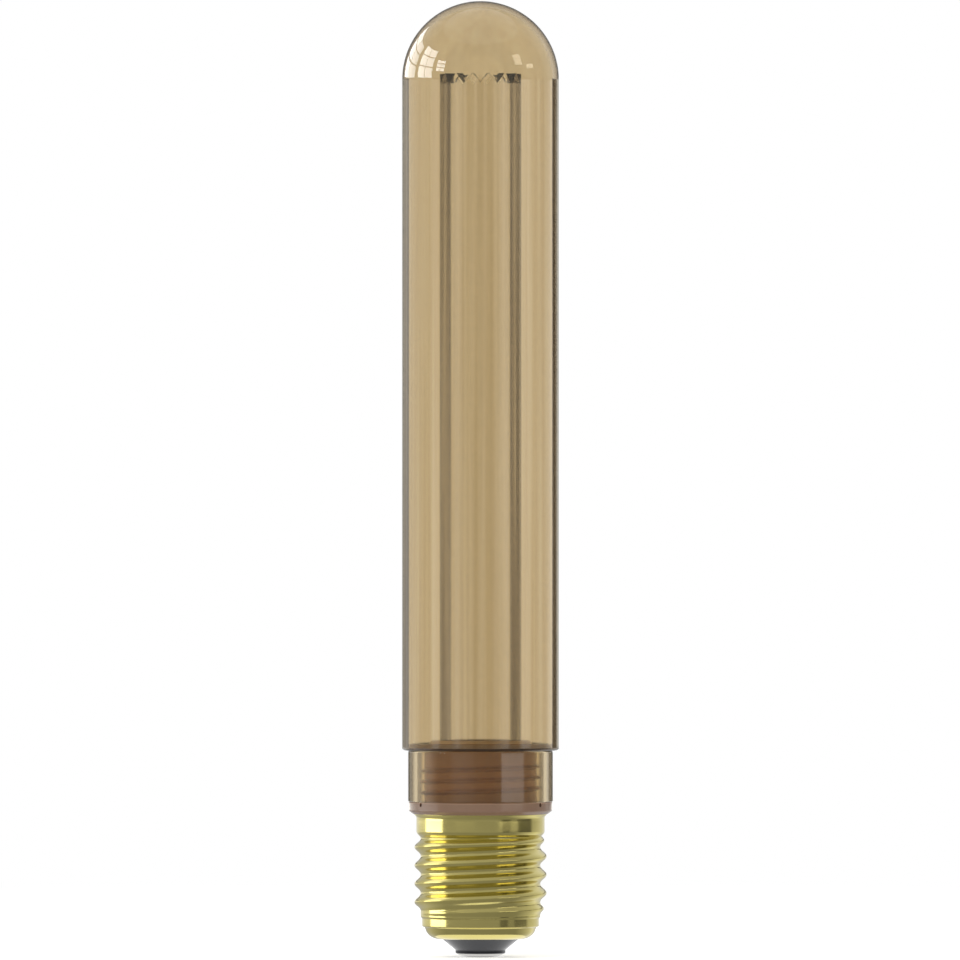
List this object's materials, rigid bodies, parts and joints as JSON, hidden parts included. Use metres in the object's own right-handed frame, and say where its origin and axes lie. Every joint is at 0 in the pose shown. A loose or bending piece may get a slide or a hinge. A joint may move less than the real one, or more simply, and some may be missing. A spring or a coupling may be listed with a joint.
{
  "type": "tubular light bulb",
  "caption": "Tubular lamp with a screw cap, a domed gold glass tube and a clear hollow light guide with a crown-cut end.",
  "frame": {"origin": "on the lamp's axis at the underside of the centre contact", "axes": "+Z along the lamp's axis from the contact to the dome, -Y towards the picture's viewer"},
  "size_m": [0.031, 0.031, 0.1892],
  "materials": {
    "plated_contact": "plated",
    "black_glass": "glossy",
    "brass": "polished",
    "brown_moulding": "glossy",
    "amber_moulding": "clear",
    "cement": "matte",
    "gold_glass": "clear",
    "clear_acrylic": "clear",
    "gold_brown_moulding": "glossy",
    "white_metal_board": "white solder mask",
    "phosphor": "matte",
    "green_board": "satin",
    "black_can": "plastic sleeve",
    "red_film": "glossy",
    "ferrite": "matte",
    "copper": "enamelled wire",
    "black_package": "matte",
    "grey_resistor": "lacquered",
    "pin_metal": "tinned",
    "red_wire": "insulated",
    "black_wire": "insulated"
  },
  "bodies": {
    "root": {"centre_contact": "plated_contact", "insulator": "black_glass", "screw_shell": "brass", "driver_housing": "brown_moulding", "collar": "amber_moulding", "glass_adhesive": "cement", "glass_envelope": "gold_glass", "light_guide": "clear_acrylic", "guide_holder": "gold_brown_moulding", "led_board": "white_metal_board", "led_chip_1": "phosphor", "led_chip_2": "phosphor", "led_chip_3": "phosphor", "led_chip_4": "phosphor", "led_chip_5": "phosphor", "led_chip_6": "phosphor", "led_chip_7": "phosphor", "led_chip_8": "phosphor", "driver_board": "green_board", "electrolytic_capacitor": "black_can", "film_capacitor": "red_film", "inductor_core": "ferrite", "inductor_winding": "copper", "bridge_rectifier": "black_package", "driver_chip": "black_package", "fusible_resistor": "grey_resistor", "led_pin_positive": "pin_metal", "led_pin_negative": "pin_metal", "live_lead": "red_wire", "neutral_lead": "black_wire"}
  },
  "joints": []
}
